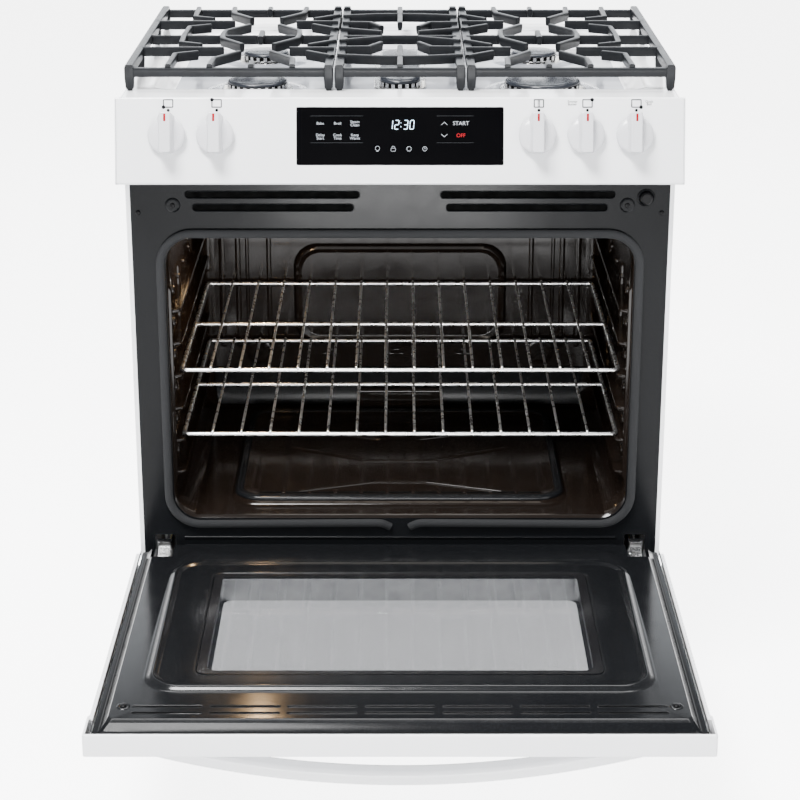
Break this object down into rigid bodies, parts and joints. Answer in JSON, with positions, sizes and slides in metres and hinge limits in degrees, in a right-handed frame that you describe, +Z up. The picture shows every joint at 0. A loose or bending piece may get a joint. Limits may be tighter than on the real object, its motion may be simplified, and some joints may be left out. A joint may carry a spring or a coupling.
{
  "type": "freestanding gas range",
  "caption": "Freestanding gas range with front controls, its oven door open on wire racks, cast-iron grates over sealed burners and a storage drawer below.",
  "frame": {"origin": "centre of the floor area covered by the range with its oven door open, on the floor", "axes": "+Z up, the front with the door faces -Y, +X to the viewer's right"},
  "size_m": [0.759, 1.201, 0.938],
  "materials": {
    "white_enamel": "gloss white porcelain enamel",
    "black_enamel": "gloss black porcelain enamel",
    "cavity_enamel": "gloss black-brown speckled porcelain enamel",
    "galvanised_steel": "galvanised sheet steel",
    "chrome_wire": "bright chrome wire",
    "chrome_hinge": "bright plated steel",
    "cast_iron": "satin grey enamelled cast iron",
    "cap_enamel": "semi-gloss dark enamel",
    "burner_aluminium": "cast, polished rim",
    "valve_brass": "machined",
    "pipe_steel": "drawn tube",
    "regulator_cast": "die cast",
    "door_glass": "clear tempered glass",
    "lamp_glass": "clear ribbed glass",
    "display_black": "gloss black glass",
    "board_plastic": "moulded",
    "knob_white": "white moulded, semi-gloss",
    "gasket_fibre": "woven glass fibre over wire",
    "blanket_fibre": "glass fibre blanket",
    "foot_plastic": "moulded",
    "switch_plastic": "moulded"
  },
  "bodies": {
    "root": {"back_panel": "galvanised_steel", "bake_burner": "galvanised_steel", "base_frame": "galvanised_steel", "broil_burner": "galvanised_steel", "burner_heads": "burner_aluminium", "burner_valves": "valve_brass", "control_board": "board_plastic", "control_panel": "white_enamel", "cooktop": "white_enamel", "cord_gland": "board_plastic", "display_glass": "display_black", "door_gasket": "gasket_fibre", "drawer_rails": "galvanised_steel", "front_frame": "black_enamel", "gas_manifold": "pipe_steel", "gas_tubes": "pipe_steel", "hinge_arms": "chrome_hinge", "insulation": "blanket_fibre", "levelling_feet": "foot_plastic", "oven_floor": "cavity_enamel", "oven_lamp_lens": "lamp_glass", "oven_liner": "cavity_enamel", "pressure_regulator": "regulator_cast", "side_panel_left": "white_enamel", "side_panel_right": "white_enamel", "temperature_probe": "galvanised_steel", "vent_trim": "white_enamel"},
    "door": {"door_outer_panel": "white_enamel", "door_outer_glass": "door_glass", "door_top_trim": "white_enamel", "door_handle": "white_enamel", "door_liner": "black_enamel", "door_inner_glass": "door_glass", "door_window_frame": "galvanised_steel", "hinge_channels": "galvanised_steel"},
    "drawer": {"drawer_front": "white_enamel", "drawer_box": "galvanised_steel"},
    "rack_upper": {"rack_upper": "chrome_wire"},
    "rack_lower": {"rack_lower": "chrome_wire"},
    "valve_stem_1": {"valve_stem_1": "valve_brass"},
    "knob_1": {"knob_1": "knob_white"},
    "valve_stem_2": {"valve_stem_2": "valve_brass"},
    "knob_2": {"knob_2": "knob_white"},
    "valve_stem_3": {"valve_stem_3": "valve_brass"},
    "knob_3": {"knob_3": "knob_white"},
    "valve_stem_4": {"valve_stem_4": "valve_brass"},
    "knob_4": {"knob_4": "knob_white"},
    "valve_stem_5": {"valve_stem_5": "valve_brass"},
    "knob_5": {"knob_5": "knob_white"},
    "grate_left": {"grate_left": "cast_iron"},
    "grate_centre": {"grate_centre": "cast_iron"},
    "grate_right": {"grate_right": "cast_iron"},
    "burner_cap_front_left": {"burner_cap_front_left": "cap_enamel"},
    "burner_cap_rear_left": {"burner_cap_rear_left": "cap_enamel"},
    "burner_cap_front_right": {"burner_cap_front_right": "cap_enamel"},
    "burner_cap_rear_right": {"burner_cap_rear_right": "cap_enamel"},
    "burner_cap_centre": {"burner_cap_centre": "cap_enamel"},
    "door_light_switch": {"door_light_switch": "switch_plastic"},
    "hinge_lock_left": {"hinge_lock_left": "chrome_hinge"},
    "hinge_lock_right": {"hinge_lock_right": "chrome_hinge"}
  },
  "joints": [
    {"name": "door_hinge", "type": "hinge", "parent": "root", "child": "door", "pos_m": [0, -0.0575, 0.232], "axis": [1, 0, 0], "range_deg": [-90, 0]},
    {"name": "drawer_slide", "type": "slide", "parent": "root", "child": "drawer", "axis": [0, -1, 0], "range_m": [0, 0.36]},
    {"name": "rack_upper_slide", "type": "slide", "parent": "root", "child": "rack_upper", "axis": [0, -1, 0], "range_m": [0, 0.28]},
    {"name": "rack_lower_slide", "type": "slide", "parent": "root", "child": "rack_lower", "axis": [0, -1, 0], "range_m": [0, 0.28]},
    {"name": "knob_1_push", "type": "slide", "parent": "root", "child": "valve_stem_1", "axis": [0, 0.9615, -0.2747], "range_m": [0, 0.003], "stiffness_N_per_m": 600},
    {"name": "knob_1_turn", "type": "hinge", "parent": "valve_stem_1", "child": "knob_1", "pos_m": [-0.31, -0.0683, 0.8557], "axis": [0, -0.9615, 0.2747], "range_deg": [0, 220]},
    {"name": "knob_2_push", "type": "slide", "parent": "root", "child": "valve_stem_2", "axis": [0, 0.9615, -0.2747], "range_m": [0, 0.003], "stiffness_N_per_m": 600},
    {"name": "knob_2_turn", "type": "hinge", "parent": "valve_stem_2", "child": "knob_2", "pos_m": [-0.2456, -0.0683, 0.8557], "axis": [0, -0.9615, 0.2747], "range_deg": [0, 220]},
    {"name": "knob_3_push", "type": "slide", "parent": "root", "child": "valve_stem_3", "axis": [0, 0.9615, -0.2747], "range_m": [0, 0.003], "stiffness_N_per_m": 600},
    {"name": "knob_3_turn", "type": "hinge", "parent": "valve_stem_3", "child": "knob_3", "pos_m": [0.1825, -0.0683, 0.8557], "axis": [0, -0.9615, 0.2747], "range_deg": [0, 220]},
    {"name": "knob_4_push", "type": "slide", "parent": "root", "child": "valve_stem_4", "axis": [0, 0.9615, -0.2747], "range_m": [0, 0.003], "stiffness_N_per_m": 600},
    {"name": "knob_4_turn", "type": "hinge", "parent": "valve_stem_4", "child": "knob_4", "pos_m": [0.247, -0.0683, 0.8557], "axis": [0, -0.9615, 0.2747], "range_deg": [0, 220]},
    {"name": "knob_5_push", "type": "slide", "parent": "root", "child": "valve_stem_5", "axis": [0, 0.9615, -0.2747], "range_m": [0, 0.003], "stiffness_N_per_m": 600},
    {"name": "knob_5_turn", "type": "hinge", "parent": "valve_stem_5", "child": "knob_5", "pos_m": [0.312, -0.0683, 0.8557], "axis": [0, -0.9615, 0.2747], "range_deg": [0, 220]},
    {"name": "grate_left_lift", "type": "slide", "parent": "root", "child": "grate_left", "axis": [0, 0, 1], "range_m": [0, 0.15]},
    {"name": "grate_centre_lift", "type": "slide", "parent": "root", "child": "grate_centre", "axis": [0, 0, 1], "range_m": [0, 0.15]},
    {"name": "grate_right_lift", "type": "slide", "parent": "root", "child": "grate_right", "axis": [0, 0, 1], "range_m": [0, 0.15]},
    {"name": "burner_cap_front_left_lift", "type": "slide", "parent": "root", "child": "burner_cap_front_left", "axis": [0, 0, 1], "range_m": [0, 0.008]},
    {"name": "burner_cap_rear_left_lift", "type": "slide", "parent": "root", "child": "burner_cap_rear_left", "axis": [0, 0, 1], "range_m": [0, 0.008]},
    {"name": "burner_cap_front_right_lift", "type": "slide", "parent": "root", "child": "burner_cap_front_right", "axis": [0, 0, 1], "range_m": [0, 0.008]},
    {"name": "burner_cap_rear_right_lift", "type": "slide", "parent": "root", "child": "burner_cap_rear_right", "axis": [0, 0, 1], "range_m": [0, 0.008]},
    {"name": "burner_cap_centre_lift", "type": "slide", "parent": "root", "child": "burner_cap_centre", "axis": [0, 0, 1], "range_m": [0, 0.008]},
    {"name": "door_light_switch_push", "type": "slide", "parent": "root", "child": "door_light_switch", "axis": [0, 1, 0], "range_m": [0, 0.004], "stiffness_N_per_m": 300},
    {"name": "hinge_lock_left_flip", "type": "hinge", "parent": "root", "child": "hinge_lock_left", "pos_m": [-0.338, -0.0365, 0.246], "axis": [1, 0, 0], "range_deg": [0, 60]},
    {"name": "hinge_lock_right_flip", "type": "hinge", "parent": "root", "child": "hinge_lock_right", "pos_m": [0.338, -0.0365, 0.246], "axis": [1, 0, 0], "range_deg": [0, 60]}
  ]
}
